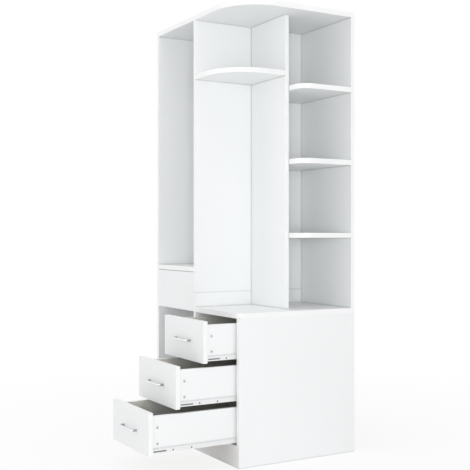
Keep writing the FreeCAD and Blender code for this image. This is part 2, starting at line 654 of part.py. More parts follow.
def make_handle(drawer, position):
    """Bow handle: a bar bent twice, with a screw hole in each foot."""
    body = doc.addObject("PartDesign::Body", f"{drawer}_bow")
    sketch = sketch_on(body, "XY_Plane", f"{drawer}_bow_outline")
    width, reach, bar = "places.handle_width", "sizes.handle_projection", "sizes.handle_bar"
    inner_right = f"{width} - {bar}"
    outline(
        sketch,
        (
            ("0", "0"),
            (width, "0"),
            (width, reach),
            (inner_right, reach),
            (inner_right, bar),
            (bar, bar),
            (bar, reach),
            ("0", reach),
        ),
    )
    blank = pad(body, sketch, f"{drawer}_bow_blank", bar)
    feet = blank.Shape.BoundBox.YMax
    half_bar = blank.Shape.BoundBox.ZLength / 2

    def is_outer_bend(edge):
        return is_upright(edge) and edge.CenterOfMass.y < half_bar

    def is_inner_bend(edge):
        return is_upright(edge) and half_bar < edge.CenterOfMass.y < feet - half_bar

    def is_bar_edge(edge):
        on_foot = all(vertex.Point.y > feet - TOUCHING for vertex in edge.Vertexes)
        return not is_upright(edge) and not on_foot

    outer = fillet(body, blank, f"{drawer}_outer_bend", is_outer_bend, f"sizes.handle_bend + {bar}")
    inner = fillet(body, outer, f"{drawer}_inner_bend", is_inner_bend, "sizes.handle_bend")
    fillet(body, inner, f"{drawer}_soft_edges", is_bar_edge, "sizes.handle_soft_edge")
    place(body, f"-{width} / 2", f"-{reach}", f"sizes.handle_rise - {bar} / 2")
    holes = [
        rod(
            f"{drawer}_{side}_handle_hole",
            "y",
            ("-sizes.screw_reach", "0"),
            (f"{sign}sizes.handle_centres / 2", "sizes.handle_rise"),
            "sizes.screw_radius",
        )
        for side, sign in (("left", "-"), ("right", ""))
    ]
    keep(place(cut(f"{drawer}_bow_bar", body, holes), *position), f"{drawer}_handle")


def make_fittings(drawer, position):
    """Cam locks, their bolts and the handle screws, as separate solids."""
    right = []
    for level in ("lower", "upper"):
        height = f"places.{level}_cam"
        bolt_end = "places.cam_middle + sizes.bolt_reach"
        cam = rod(
            f"{drawer}_{level}_cam_blank",
            "x",
            span("cam_inner", "cam_outer"),
            ("places.cam_middle", height),
            "sizes.cam_radius",
        )
        mouth = rod(
            f"{drawer}_{level}_cam_mouth",
            "y",
            ("places.cam_middle - 2 * sizes.cam_radius", f"{bolt_end} + sizes.bolt_play"),
            ("places.side_middle", height),
            "sizes.bolt_radius + sizes.bolt_play",
        )
        bolt = rod(
            f"{drawer}_{level}_bolt",
            "y",
            ("sizes.board - sizes.bolt_seat", bolt_end),
            ("places.side_middle", height),
            "sizes.bolt_radius",
        )
        right += [cut(f"{drawer}_{level}_cam", cam, [mouth]), bolt]
    shank = rod(
        f"{drawer}_screw_shank",
        "y",
        ("-sizes.screw_reach", "sizes.board"),
        ("sizes.handle_centres / 2", "sizes.handle_rise"),
        "sizes.screw_radius",
    )
    head = rod(
        f"{drawer}_screw_head",
        "y",
        ("sizes.board", "sizes.board + sizes.screw_head_height"),
        ("sizes.handle_centres / 2", "sizes.handle_rise"),
        "sizes.screw_head_radius",
    )
    right.append(fuse(f"{drawer}_screw", [shank, head]))
    right_group = group(f"{drawer}_right_fittings", right)
    left_group = mirror(f"{drawer}_left_fittings", right_group, "0")
    both = group(f"{drawer}_all_fittings", [right_group, left_group])
    keep(place(both, *position), f"{drawer}_fittings")


def make_runners(drawer, position):
    """Drawer runners: sheet folded round the lower edge of each side, with a riveted roller pin."""
    body = doc.addObject("PartDesign::Body", f"{drawer}_runner_profile")
    sketch = sketch_on(body, "XZ_Plane", f"{drawer}_runner_section")
    leg, sheet = "sizes.runner_leg", "sizes.runner_sheet"
    web = f"{leg} + {sheet}"
    tip = f"{leg} + sizes.runner_flange"
    height = "sizes.runner_height"
    under = f"{height} - {sheet}"
    outline(
        sketch,
        (
            ("0", "0"),
            (web, "0"),
            (web, under),
            (tip, under),
            (tip, height),
            (leg, height),
            (leg, sheet),
            ("0", sheet),
        ),
    )
    length = "sizes.drawer_length - sizes.runner_start"
    pad(body, sketch, f"{drawer}_runner_length", length, reverse=True)
    place(body, f"places.side_outer - {leg}", "places.runner_front", "places.runner_low")
    axle = ("places.drawer_axle_depth", "places.drawer_axle")
    pin = rod(f"{drawer}_pin", "x", span("side_outer", "drawer_pin_end"), axle, "sizes.pin_radius")
    head_span = ("places.drawer_pin_end", "places.drawer_pin_end + sizes.pin_head_height")
    head = rod(f"{drawer}_pin_head", "x", head_span, axle, "sizes.pin_head_radius")
    slot = box(
        f"{drawer}_hook_slot",
        span("side_outer", "runner_outer"),
        span("slot_front", "slot_rear"),
        span("slot_under", "slot_top"),
    )
    tools = [slot]
    through_web = span("side_outer", "runner_outer")
    for number in (1, 2):
        depth = f"places.runner_front + sizes.first_screw + {number - 1} * sizes.screw_pitch"
        centre = (depth, "places.screw_height")
        name = f"{drawer}_screw_hole_{number}"
        tools.append(rod(name, "x", through_web, centre, "sizes.screw_hole_radius"))
    blank = fuse(f"{drawer}_runner_blank", [body, pin, head])
    right = place(cut(f"{drawer}_runner", blank, tools), *position)
    keep(right, f"{drawer}_runner_right")
    keep(mirror(f"{drawer}_runner_twin", right, "places.bay_middle"), f"{drawer}_runner_left")


def make_channels(drawer, position):
    """Carcass runners: a C channel with a notch over the front roller, its pin and a stop tab."""
    body = doc.addObject("PartDesign::Body", f"{drawer}_channel_profile")
    sketch = sketch_on(body, "XZ_Plane", f"{drawer}_channel_section")
    sheet = "sizes.runner_sheet"
    width = "sizes.runner_space - sizes.channel_inset"
    height = "places.channel_top - places.channel_low"
    web, ceiling = f"{width} - {sheet}", f"{height} - {sheet}"
    outline(
        sketch,
        (
            ("0", "0"),
            (width, "0"),
            (width, height),
            ("0", height),
            ("0", ceiling),
            (web, ceiling),
            (web, sheet),
            ("0", sheet),
        ),
    )
    pad(body, sketch, f"{drawer}_channel_length", "sizes.channel_length", reverse=True)
    place(body, "places.channel_inner", "places.channel_front", "places.channel_low")
    axle = ("places.channel_axle_depth", "places.channel_axle")
    pin_span = span("channel_pin_end", "channel_outer")
    pin = rod(f"{drawer}_channel_pin", "x", pin_span, axle, "sizes.pin_radius")
    head_span = ("places.channel_pin_end - sizes.pin_head_height", "places.channel_pin_end")
    head = rod(f"{drawer}_channel_pin_head", "x", head_span, axle, "sizes.pin_head_radius")
    stop = box(
        f"{drawer}_stop_tab",
        ("places.channel_web - sizes.stop_width", "places.channel_web"),
        span("stop_front", "stop_rear"),
        span("stop_low", "channel_ceiling"),
    )
    notch = box(
        f"{drawer}_roller_notch",
        span("channel_inner", "channel_web"),
        ("places.channel_front", "places.channel_front + sizes.channel_notch"),
        span("channel_ceiling", "channel_top"),
    )
    tools = [notch]
    through_web = span("channel_web", "channel_outer")
    for number in (1, 2, 3):
        depth = f"places.channel_front + sizes.first_screw + {2 * number - 2} * sizes.screw_pitch"
        centre = (depth, "places.drawer_axle")
        name = f"{drawer}_channel_hole_{number}"
        tools.append(rod(name, "x", through_web, centre, "sizes.screw_hole_radius"))
    blank = fuse(f"{drawer}_channel_blank", [body, pin, head, stop])
    right = place(cut(f"{drawer}_channel", blank, tools), *position)
    keep(right, f"{drawer}_channel_right")
    keep(mirror(f"{drawer}_channel_twin", right, "places.bay_middle"), f"{drawer}_channel_left")


def make_rollers(node, inner, axle_depth, axle_height, position):
    """A pair of nylon rollers on one axis, turned from a section with a chamfered rim."""
    body = doc.addObject("PartDesign::Body", f"{node}_wheel")
    sketch = sketch_on(body, "XZ_Plane", f"{node}_section")
    width, rim, chamfer = "sizes.roller_width", "sizes.roller_radius", "sizes.roller_chamfer"
    bore = "sizes.pin_radius + sizes.pin_play"
    outline(
        sketch,
        (
            ("0", bore),
            (width, bore),
            (width, f"{rim} - {chamfer}"),
            (f"{width} - {chamfer}", rim),
            (chamfer, rim),
            ("0", f"{rim} - {chamfer}"),
        ),
    )
    turned = body.newObject("PartDesign::Revolution", f"{node}_turned")
    turned.Profile = sketch
    turned.ReferenceAxis = (sketch, ["H_Axis"])
    turned.Angle = 360
    doc.recompute()
    right = place(body, f"places.{inner}", f"places.{axle_depth}", f"places.{axle_height}")
    left = mirror(f"{node}_left", right, "0")
    keep(place(group(f"{node}_pair", [right, left]), *position), node)


def make_drawer(drawer):
    """One drawer, standing open by its pull, and the channels that carry it."""
    low = f"places.{drawer}_drawer_low"
    opened = ("places.bay_middle", f"places.front_face - sizes.{drawer}_pull", low)
    closed = ("places.bay_middle", "places.front_face", low)
    name = f"{drawer}_drawer"
    make_front(name, opened)
    make_sides(name, opened)
    make_back_and_bottom(name, opened)
    make_handle(name, opened)
    make_fittings(name, opened)
    make_runners(name, opened)
    make_rollers(f"{name}_rollers", "drawer_roller_inner", "drawer_axle_depth", "drawer_axle", opened)
    make_channels(drawer, closed)
    make_rollers(
        f"{drawer}_channel_rollers", "channel_roller_inner", "channel_axle_depth", "channel_axle", closed
    )


def check():
    """Stop if any object failed or any sub-part is not a sound solid."""
    failed = [item.Name for item in doc.Objects if "Invalid" in item.State or "Error" in item.State]
    if failed:
        raise RuntimeError(f"objects that failed: {failed}")
    for piece in subparts:
        shape = piece.Shape
        if shape.isNull() or not shape.isValid() or not shape.Solids or shape.Volume <= 0:
            raise RuntimeError(f"unsound shape: {piece.Label}")


def export():
    os.makedirs("parts", exist_ok=True)
    for piece in subparts:
        piece.Shape.exportStep(f"parts/{piece.Label}.step")


fill_sheets()
make_carcass()
for drawer_name in ("bottom", "middle", "top"):
    make_drawer(drawer_name)
doc.recompute()
check()
export()
print(f"{len(subparts)} sub-parts, {sum(len(piece.Shape.Solids) for piece in subparts)} solids")
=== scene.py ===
import math

import bmesh
import bpy
from bpy.props import FloatProperty, FloatVectorProperty, PointerProperty
from mathutils import Matrix, Vector


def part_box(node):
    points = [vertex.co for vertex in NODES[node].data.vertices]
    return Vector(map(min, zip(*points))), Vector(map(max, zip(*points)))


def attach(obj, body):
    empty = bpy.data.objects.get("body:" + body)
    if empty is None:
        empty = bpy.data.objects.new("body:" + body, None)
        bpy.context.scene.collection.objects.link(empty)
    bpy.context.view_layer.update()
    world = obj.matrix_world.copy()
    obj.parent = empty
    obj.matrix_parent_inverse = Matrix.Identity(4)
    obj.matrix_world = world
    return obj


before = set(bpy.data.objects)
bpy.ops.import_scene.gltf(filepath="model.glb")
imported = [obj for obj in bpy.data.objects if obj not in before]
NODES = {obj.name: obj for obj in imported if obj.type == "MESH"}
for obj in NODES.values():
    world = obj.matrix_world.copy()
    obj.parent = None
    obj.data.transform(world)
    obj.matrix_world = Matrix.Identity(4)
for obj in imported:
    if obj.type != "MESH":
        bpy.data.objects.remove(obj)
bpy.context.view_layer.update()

bl_info = {
    "name": "Open Corner Wardrobe",
    "version": (1, 0, 0),
    "blender": (4, 5, 0),
    "location": "View3D > Sidebar > Wardrobe",
    "description": "Finishes the boards, drawers and fittings of an open wardrobe and lights it",
    "category": "Object",
}

CARCASS_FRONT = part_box("right_side_panel")[0][1]
PHOTO_SIDE = 470
SENSOR_MM = 36.0
LEVEL = math.radians(90.0)
DRAWERS = ("bottom", "middle", "top")
# Sides of a drawer, and the way along X that leads out of it there
SIDES = {"left": -1.0, "right": 1.0}
AXES = "xyz"

# Boards of the carcass by the axis that their thickness lies along
CARCASS_BOARDS = {
    "x": ("left_side_panel", "right_side_panel"),
    "y": ("left_plinth", "chest_plinth", "apron", "partition", "rear_panel"),
    "z": (
        "left_bottom", "chest_bottom", "left_shelf", "top_panel", "chest_top", "hat_shelf",
        "column_shelf_1", "column_shelf_2", "column_shelf_3",
    ),
}
DIVIDER_BOARDS = ("divider_lower", "divider_upper")
# Boards of a drawer: thickness axis, and the way that the lined face looks
DRAWER_BOARDS = {
    "front": ("y", 1),
    "side_right": ("x", -1),
    "side_left": ("x", 1),
    "back": ("y", -1),
}

# Painted shade by the openness of a place, in inner corners and deep in the drawers: reach in metres,
# samples, the openness that has the full shade, the openness that has none, and the tone of the full shade
PAINTED_CORNER_SHADE = (0.008, 8, 0.5, 1.0, 0.74)
PAINTED_HOLLOW_SHADE = (0.600, 32, 0.00, 0.12, 0.40)
# The butt joint of the divider's two boards: half the width of the line that shows there, and its tone
BUTT_HALF = 0.0030
BUTT_TONE = 0.76
# How far a face of a board may lean and still count as that face, as the cosine of its lean
FACE_COSINE = 0.7
# The same for the lacquered face of a fibreboard sheet, whose edges are bare
LACQUER_COSINE = 0.3
# Melamine: how much smoother the edging is, the share of the broad relief, and the shine
EDGE_POLISH = 0.10
PEEL_SHARE = 0.5
BOARD_SHINE = 0.4
# Specks in the fibreboard's lacquer: the noise level that makes one, and their strength and tone
SPECK_LEVEL = 0.70
SPECK_STRENGTH = 0.25
SPECK_TONE = 0.80
# A handle's feet, darkened as painted shade: where they begin and are full, as shares of its depth
FEET_START = 0.15
FEET_FULL = 0.45
# Shares of metal in the fittings
ZINC_METAL = 0.75
SCREW_METAL = 0.5
DULL_METAL = 0.3

# Rounding of edges: gap that is welded shut, lean between faces that are one, and that of a real edge
WELD_GAP = 0.00001
FLAT_LEAN = math.radians(0.5)
EDGE_LEAN = math.radians(40.0)
ARRIS_SEGMENTS = 2

# Turned heads: points round them, and the shares of a recess's reach and width that its floor keeps
HEAD_POINTS = 24
FLOOR_REACH = 0.9
FLOOR_WIDTH = 0.8

# Places on a drawer, in metres behind its front and above the front's lower edge
CAM_DEPTH = 0.043
CAM_HEIGHTS = (0.0465, 0.1105)
SCREW_DEPTHS = (0.112, 0.195)
SCREW_HEIGHT = 0.01555
SLOT_DEPTHS = (0.0255, 0.0825)
SLOT_HEIGHTS = (0.0128, 0.0183)
SLOT_FLOOR = 0.009
# Places on a runner channel, in metres behind the carcass front and above the drawer front's lower edge
CHANNEL_SCREW_DEPTHS = (0.114, 0.280, 0.446)
CHANNEL_SCREW_HEIGHT = 0.0162
# Distance of the channel's web and of the runner's outer face from the drawer side
CHANNEL_SPACE = 0.0113
RUNNER_SHEET = 0.0012

# Faces of the cam locks: depth below the board, radius and height pairs from the base up, and the slots
CAM_RECESS = 0.0002
CAM_PROFILE = ((0.0057, 0.0), (0.0057, 0.0001), (0.0053, 0.00017))
CAM_SLOT_REACH = (0.0020, 0.0040)
CAM_SLOT_HALF = 0.0009
CAM_SLOT_DEPTH = 0.00014
# Screws: radius and length of the shank that shows, shares of the head's rise and radius where it rounds
# off, and the recess, which goes a little deeper than the head is high
SHANK_RADIUS = 0.0019
SHANK_LENGTH = 0.0011
HEAD_WALL = 0.4
HEAD_CROWN = 0.7
SCREW_RECESS_REACH = (0.0014, 0.0014)
SCREW_RECESS_HALF = 0.0004
SCREW_RECESS_BELOW = 0.0005
# Catches: play in the slot, ribs, half a rib's share of its pitch, and the depth between ribs
CATCH_PLAY = 0.0002
CATCH_RIBS = 9
RIB_HALF = 0.15
RIB_DEPTH = 0.0006

# The floor: half its side, its drop below the object, and its tones for light and as it is seen
FLOOR_HALF = 60.0
FLOOR_CELLS = 4
FLOOR_DROP = 0.0005
FLOOR_PALE = (0.90, 0.92)
FLOOR_SEEN = (0.94, 0.96)
FLOOR_ROUGHNESS = 0.9
# The floor as it is seen: share of plain white near the object, how far that goes, and where all is white
FLOOR_WHITE = 0.85
FLOOR_NEAR = 0.5
FLOOR_FADE = 2.5
WHITE = (1.0, 1.0, 1.0, 1.0)
# Soft boxes: place and side of each, with the stage value that gives its power; all look at one point
SOFT_BOXES = {
    "front_soft_box": ((-2.6, -4.2, 1.5), 2.4, "front_light"),
    "side_soft_box": ((5.0, 0.0, 1.6), 3.0, "side_light"),
    "corner_soft_box": ((5.4, -3.2, 1.0), 1.6, "corner_light"),
    "top_soft_box": ((0.5, -0.5, 4.5), 3.0, "top_light"),
}
LIGHT_AIM = Vector((0.0, 0.0, 1.0))


class WardrobeFinish(bpy.types.PropertyGroup):
    """Colours of the boards and fittings."""

    board: FloatVectorProperty(
        name="Board", description="Melamine face of the boards",
        subtype="COLOR", min=0.0, max=1.0, default=(0.912, 0.926, 0.931),
    )
    edging: FloatVectorProperty(
        name="Edging", description="Edging of the boards",
        subtype="COLOR", min=0.0, max=1.0, default=(0.945, 0.949, 0.950),
    )
    lining: FloatVectorProperty(
        name="Lining", description="Inner faces of the drawers",
        subtype="COLOR", min=0.0, max=1.0, default=(0.910, 0.908, 0.866),
    )
    backs: FloatVectorProperty(
        name="Backs", description="Lacquered face of the carcass's fibreboard backs",
        subtype="COLOR", min=0.0, max=1.0, default=(0.905, 0.912, 0.914),
    )
    bottoms: FloatVectorProperty(
        name="Drawer bottoms", description="Lacquered face of the drawers' fibreboard bottoms",
        subtype="COLOR", min=0.0, max=1.0, default=(0.905, 0.902, 0.858),
    )
    raw: FloatVectorProperty(
        name="Raw fibre", description="Bare rear face of the fibreboard sheets",
        subtype="COLOR", min=0.0, max=1.0, default=(0.330, 0.245, 0.170),
    )
    powder: FloatVectorProperty(
        name="Powder coat", description="Powder coat of the runners",
        subtype="COLOR", min=0.0, max=1.0, default=(0.880, 0.885, 0.885),
    )
    nylon: FloatVectorProperty(
        name="Nylon", description="Nylon of the rollers",
        subtype="COLOR", min=0.0, max=1.0, default=(0.800, 0.800, 0.770),
    )
    steel: FloatVectorProperty(
        name="Steel", description="Brushed steel of the handles' bars",
        subtype="COLOR", min=0.0, max=1.0, default=(0.900, 0.900, 0.905),
    )
    # The feet's darker steel is painted shade
    foot_shade: FloatVectorProperty(
        name="Handle feet", description="Darker steel of the handles' feet",
        subtype="COLOR", min=0.0, max=1.0, default=(0.430, 0.435, 0.445),
    )
    zinc: FloatVectorProperty(
        name="Zinc", description="Satin zinc of the cam locks' bodies, the bolts and the handle screws",
        subtype="COLOR", min=0.0, max=1.0, default=(0.720, 0.720, 0.715),
    )
    screw: FloatVectorProperty(
        name="Runner screws", description="Darkened steel of the runners' screws",
        subtype="COLOR", min=0.0, max=1.0, default=(0.130, 0.130, 0.130),
    )
    # The catches' dark colour is painted shade for the runners' slots
    catch_shade: FloatVectorProperty(
        name="Catches", description="Grey plastic of the catches in the runners",
        subtype="COLOR", min=0.0, max=1.0, default=(0.200, 0.220, 0.240),
    )
    cam: FloatVectorProperty(
        name="Cam locks", description="Duller zinc of the cam locks' faces",
        subtype="COLOR", min=0.0, max=1.0, default=(0.610, 0.612, 0.610),
    )
    # The slots' darker colour is painted shade in the recesses
    cam_slot: FloatVectorProperty(
        name="Cam slots", description="Slots in the cam locks' faces",
        subtype="COLOR", min=0.0, max=1.0, default=(0.400, 0.400, 0.398),
    )
    # The recesses' dark colour is painted shade
    recess_shade: FloatVectorProperty(
        name="Screw recesses", description="Dark recesses of the screws",
        subtype="COLOR", min=0.0, max=1.0, default=(0.100, 0.100, 0.098),
    )
    beech: FloatVectorProperty(
        name="Beech", description="Wood of the dowels",
        subtype="COLOR", min=0.0, max=1.0, default=(0.550, 0.370, 0.200),
    )


class WardrobeDetail(bpy.types.PropertyGroup):
    """Sizes of the small details."""

    board_arris: FloatProperty(
        name="Board arris", description="Rounding of the boards' edges",
        subtype="DISTANCE", unit="LENGTH", min=0.0, max=0.003, default=0.0008,
    )
    sheet_arris: FloatProperty(
        name="Sheet arris", description="Rounding of folded steel and thin sheets",
        subtype="DISTANCE", unit="LENGTH", min=0.0, max=0.001, default=0.0003,
    )
    screw_head: FloatProperty(
        name="Screw head", description="Radius of the runners' screw heads",
        subtype="DISTANCE", unit="LENGTH", min=0.0025, max=0.006, default=0.0032,
    )
    screw_rise: FloatProperty(
        name="Screw rise", description="Height of the runners' screw heads",
        subtype="DISTANCE", unit="LENGTH", min=0.0002, max=0.0008, default=0.0006,
    )


class WardrobeStage(bpy.types.PropertyGroup):
    """Camera and studio light."""

    camera_place: FloatVectorProperty(
        name="Camera place", description="Where the camera stands",
        subtype="TRANSLATION", unit="LENGTH", default=(3.5653, -2.1470, 0.9721),
    )
    camera_turn: FloatProperty(
        name="Camera turn", description="Turn of the level camera from looking along +Y",
        subtype="ANGLE", unit="ROTATION", default=math.radians(59.992),
    )
    focal_pixels: FloatProperty(
        name="Focal pixels", description="Focal length in pixels of the photograph",
        min=100.0, max=4000.0, default=882.9,
    )
    ambient: FloatProperty(
        name="Ambient", description="Strength of the even studio light",
        min=0.0, max=2.0, default=0.65,
    )
    front_light: FloatProperty(
        name="Front light", description="Power of the soft box at the left front",
        subtype="POWER", unit="POWER", min=0.0, max=1000.0, default=25.0,
    )
    side_light: FloatProperty(
        name="Side light", description="Power of the soft box on the right",
        subtype="POWER", unit="POWER", min=0.0, max=1000.0, default=5.0,
    )
    corner_light: FloatProperty(
        name="Corner light", description="Power of the soft box behind the camera",
        subtype="POWER", unit="POWER", min=0.0, max=1000.0, default=98.0,
    )
    top_light: FloatProperty(
        name="Top light", description="Power of the soft box overhead",
        subtype="POWER", unit="POWER", min=0.0, max=1000.0, default=36.0,
    )


def shader_nodes(name):
    """A new material with its node tree and Principled shader."""
    material = bpy.data.materials.new(name)
    material.use_nodes = True
    tree = material.node_tree
    return material, tree, tree.nodes["Principled BSDF"]


def add(tree, kind, inputs=None, **settings):
    """A node with its options set and its inputs filled or linked."""
    node = tree.nodes.new(kind)
    for key, value in settings.items():
        setattr(node, key, value)
    for key, value in (inputs or {}).items():
        if isinstance(value, bpy.types.NodeSocket):
            tree.links.new(value, node.inputs[key])
        else:
            node.inputs[key].default_value = value
    return node


def noise(tree, place, scale, detail=2.0, roughness=0.5):
    """Value of a noise texture at a place; its scale is in waves per metre."""
    node = add(
        tree, "ShaderNodeTexNoise",
        {"Vector": place, "Scale": scale, "Detail": detail, "Roughness": roughness},
    )
    return node.outputs["Fac"]


def ranged(tree, value, low, high, start=0.0, end=1.0):
    """A value between start and end, spread between two limits."""
    node = add(
        tree, "ShaderNodeMapRange",
        {"Value": value, "From Min": start, "From Max": end, "To Min": low, "To Max": high},
    )
    return node.outputs["Result"]


def mixed(tree, factor, first, second, way="MIX"):
    """A colour between two, by a factor."""
    node = add(
        tree, "ShaderNodeMix", {"Factor": factor, 6: first, 7: second},
        data_type="RGBA", blend_type=way,
    )
    return node.outputs[2]


def calc(tree, operation, first, second=0.0):
    """One step of arithmetic."""
    node = add(tree, "ShaderNodeMath", {0: first, 1: second}, operation=operation)
    return node.outputs["Value"]


def shaded(colour, level):
    """A colour with its brightness scaled, as four numbers."""
    return (*(channel * level for channel in colour), 1.0)


def mottled(tree, pattern, colour, dark, light=1.0):
    """A colour that varies between two levels of brightness with a pattern."""
    return mixed(tree, pattern, shaded(colour, dark), shaded(colour, light))


def part_along(tree, vector, axis):
    """One part of a vector."""
    return add(tree, "ShaderNodeSeparateXYZ", {"Vector": vector}).outputs[AXES.index(axis)]


def object_place(tree):
    """Place on the piece, which moves with it."""
    return add(tree, "ShaderNodeTexCoord").outputs["Object"]


def stretched(tree, place, scale):
    """A place with each axis scaled, for grain that runs one way."""
    return add(tree, "ShaderNodeMapping", {"Vector": place, "Scale": scale}).outputs["Vector"]


def facing(tree, axis):
    """Part of the surface's direction along one axis."""
    direction = add(tree, "ShaderNodeNewGeometry").outputs["True Normal"]
    return part_along(tree, direction, axis)


def paint(tree, shader, colour):
    """Give a shader its colour."""
    tree.links.new(colour, shader.inputs["Base Color"])


def dull(tree, shader, roughness):
    """Give a shader its roughness."""
    tree.links.new(roughness, shader.inputs["Roughness"])


def emboss(tree, shader, height, depth, strength):
    """Fine relief on a shader's surface; depth is in metres."""
    node = add(
        tree, "ShaderNodeBump", {"Height": height, "Distance": depth, "Strength": strength}
    )
    tree.links.new(node.outputs["Normal"], shader.inputs["Normal"])


def dimmed(tree, colour, share):
    """A colour scaled by a share that varies over the surface."""
    tint = add(tree, "ShaderNodeCombineColor", {0: share, 1: share, 2: share}).outputs["Color"]
    return mixed(tree, 1.0, colour, tint, way="MULTIPLY")


def painted_shade(tree, colour, shade):
    """A colour with painted shade where the surface is closed in, such as an inner corner where boards
    meet.
    """
    reach, samples, full, none, tone = shade
    sight = add(tree, "ShaderNodeAmbientOcclusion", {"Distance": reach}, samples=samples)
    return dimmed(tree, colour, ranged(tree, sight.outputs["AO"], tone, 1.0, start=full, end=none))


def butt_line(tree, colour, place, height):
    """A colour with the line of a level butt joint at a height."""
    away = calc(tree, "ABSOLUTE", calc(tree, "SUBTRACT", part_along(tree, place, "z"), height))
    return dimmed(tree, colour, ranged(tree, away, BUTT_TONE, 1.0, end=BUTT_HALF))


def melamine(name, finish, axis, lined_way=0, butt_height=None):
    """Satin melamine with smooth edging and painted shade in inner corners, and a lining on one face with
    painted shade deep in the drawer, or the line of a butt joint if asked.
    """
    material, tree, shader = shader_nodes(name)
    place = object_place(tree)
    cloud = noise(tree, place, scale=4.0, detail=3.0)
    pearl = noise(tree, place, scale=1500.0, detail=3.0, roughness=0.6)
    peel = noise(tree, place, scale=420.0, detail=1.0)
    along = facing(tree, axis)
    on_edge = calc(tree, "LESS_THAN", calc(tree, "ABSOLUTE", along), FACE_COSINE)
    colour = mottled(tree, cloud, finish.board, dark=0.985)
    if lined_way:
        on_lining = calc(tree, "GREATER_THAN", calc(tree, "MULTIPLY", along, lined_way), FACE_COSINE)
        lining = mottled(tree, cloud, finish.lining, dark=0.97)
        # The lining takes painted shade where it lies deep in the drawer
        colour = mixed(tree, on_lining, colour, painted_shade(tree, lining, PAINTED_HOLLOW_SHADE))
    edging = mottled(tree, cloud, finish.edging, dark=0.99)
    # Painted shade in the inner corners where boards meet
    colour = painted_shade(tree, mixed(tree, on_edge, colour, edging), PAINTED_CORNER_SHADE)
    if butt_height is not None:
        colour = butt_line(tree, colour, place, butt_height)
    paint(tree, shader, colour)
    face_roughness = ranged(tree, cloud, low=0.40, high=0.48)
    edge_polish = calc(tree, "MULTIPLY", on_edge, EDGE_POLISH)
    dull(tree, shader, calc(tree, "SUBTRACT", face_roughness, edge_polish))
    relief = calc(tree, "ADD", pearl, calc(tree, "MULTIPLY", peel, PEEL_SHARE))
    emboss(tree, shader, relief, depth=0.00003, strength=0.25)
    shader.inputs["Specular IOR Level"].default_value = BOARD_SHINE
    return material


def fibreboard(name, lacquer, raw, axis, raw_way, hollow=False):
    """Hardboard with faint fibres and specks, lacquered on one face and bare on the other, with painted
    shade on the lacquer deep in the drawers if asked.
    """
    material, tree, shader = shader_nodes(name)
    place = object_place(tree)
    fibres = noise(tree, place, scale=260.0, detail=6.0, roughness=0.7)
    specks = noise(tree, place, scale=1100.0, detail=1.0)
    speckled = calc(tree, "MULTIPLY", calc(tree, "GREATER_THAN", specks, SPECK_LEVEL), SPECK_STRENGTH)
    plain = mottled(tree, fibres, lacquer, dark=0.95)
    coated = mixed(tree, speckled, plain, shaded(lacquer, SPECK_TONE))
    # Painted shade on the lacquer deep in the drawers
    if hollow:
        coated = painted_shade(tree, coated, PAINTED_HOLLOW_SHADE)
    bare = mottled(tree, fibres, raw, dark=0.70, light=1.25)
    to_raw = calc(tree, "MULTIPLY", facing(tree, axis), raw_way)
    paint(tree, shader, mixed(tree, calc(tree, "GREATER_THAN", to_raw, -LACQUER_COSINE), coated, bare))
    dull(tree, shader, ranged(tree, fibres, low=0.50, high=0.62))
    emboss(tree, shader, fibres, depth=0.00006, strength=0.30)
    return material


def powder_coat(name, finish):
    """White powder coat with its fine orange peel."""
    material, tree, shader = shader_nodes(name)
    place = object_place(tree)
    peel = noise(tree, place, scale=900.0)
    cloud = noise(tree, place, scale=12.0)
    paint(tree, shader, mottled(tree, cloud, finish.powder, dark=0.97))
    dull(tree, shader, ranged(tree, peel, low=0.32, high=0.42))
    emboss(tree, shader, peel, depth=0.00004, strength=0.35)
    return material


def moulded_nylon(name, finish):
    """Slightly milky nylon."""
    material, tree, shader = shader_nodes(name)
    flow = noise(tree, object_place(tree), scale=220.0, detail=3.0)
    paint(tree, shader, mottled(tree, flow, finish.nylon, dark=0.94))
    dull(tree, shader, ranged(tree, flow, low=0.38, high=0.50))
    emboss(tree, shader, flow, depth=0.00002, strength=0.30)
    return material


def brushed_steel(name, finish):
    """Steel brushed along the bar of a handle, with feet darkened towards the drawer as painted shade."""
    material, tree, shader = shader_nodes(name)
    along_bar = stretched(tree, object_place(tree), scale=(40.0, 2600.0, 2600.0))
    hairlines = noise(tree, along_bar, scale=1.0, detail=3.0, roughness=0.6)
    bar = mottled(tree, hairlines, finish.steel, dark=0.88)
    # The feet are darker as painted shade
    feet = mottled(tree, hairlines, finish.foot_shade, dark=0.80)
    depth = part_along(tree, add(tree, "ShaderNodeTexCoord").outputs["Generated"], "y")
    on_feet = ranged(tree, depth, low=0.0, high=1.0, start=FEET_START, end=FEET_FULL)
    paint(tree, shader, mixed(tree, on_feet, bar, feet))
    dull(tree, shader, ranged(tree, hairlines, low=0.20, high=0.36))
    emboss(tree, shader, hairlines, depth=0.00001, strength=0.25)
    shader.inputs["Metallic"].default_value = 1.0
    return material


def satin_zinc(name, tint, metal):
    """Plated or darkened metal with a grainy skin."""
    material, tree, shader = shader_nodes(name)
    place = object_place(tree)
    grain = noise(tree, place, scale=1400.0, detail=3.0)
    cloud = noise(tree, place, scale=180.0)
    paint(tree, shader, mottled(tree, cloud, tint, dark=0.85, light=1.1))
    dull(tree, shader, ranged(tree, grain, low=0.36, high=0.52))
    emboss(tree, shader, grain, depth=0.00003, strength=0.40)
    shader.inputs["Metallic"].default_value = metal
    return material


def moulded_plastic(name, tint):
    """Moulded plastic with a matt skin, dark where it is painted shade in the runners' slots."""
    material, tree, shader = shader_nodes(name)
    grain = noise(tree, object_place(tree), scale=1100.0, detail=3.0)
    paint(tree, shader, mottled(tree, grain, tint, dark=0.85, light=1.15))
    dull(tree, shader, ranged(tree, grain, low=0.50, high=0.65))
    emboss(tree, shader, grain, depth=0.00003, strength=0.40)
    return material


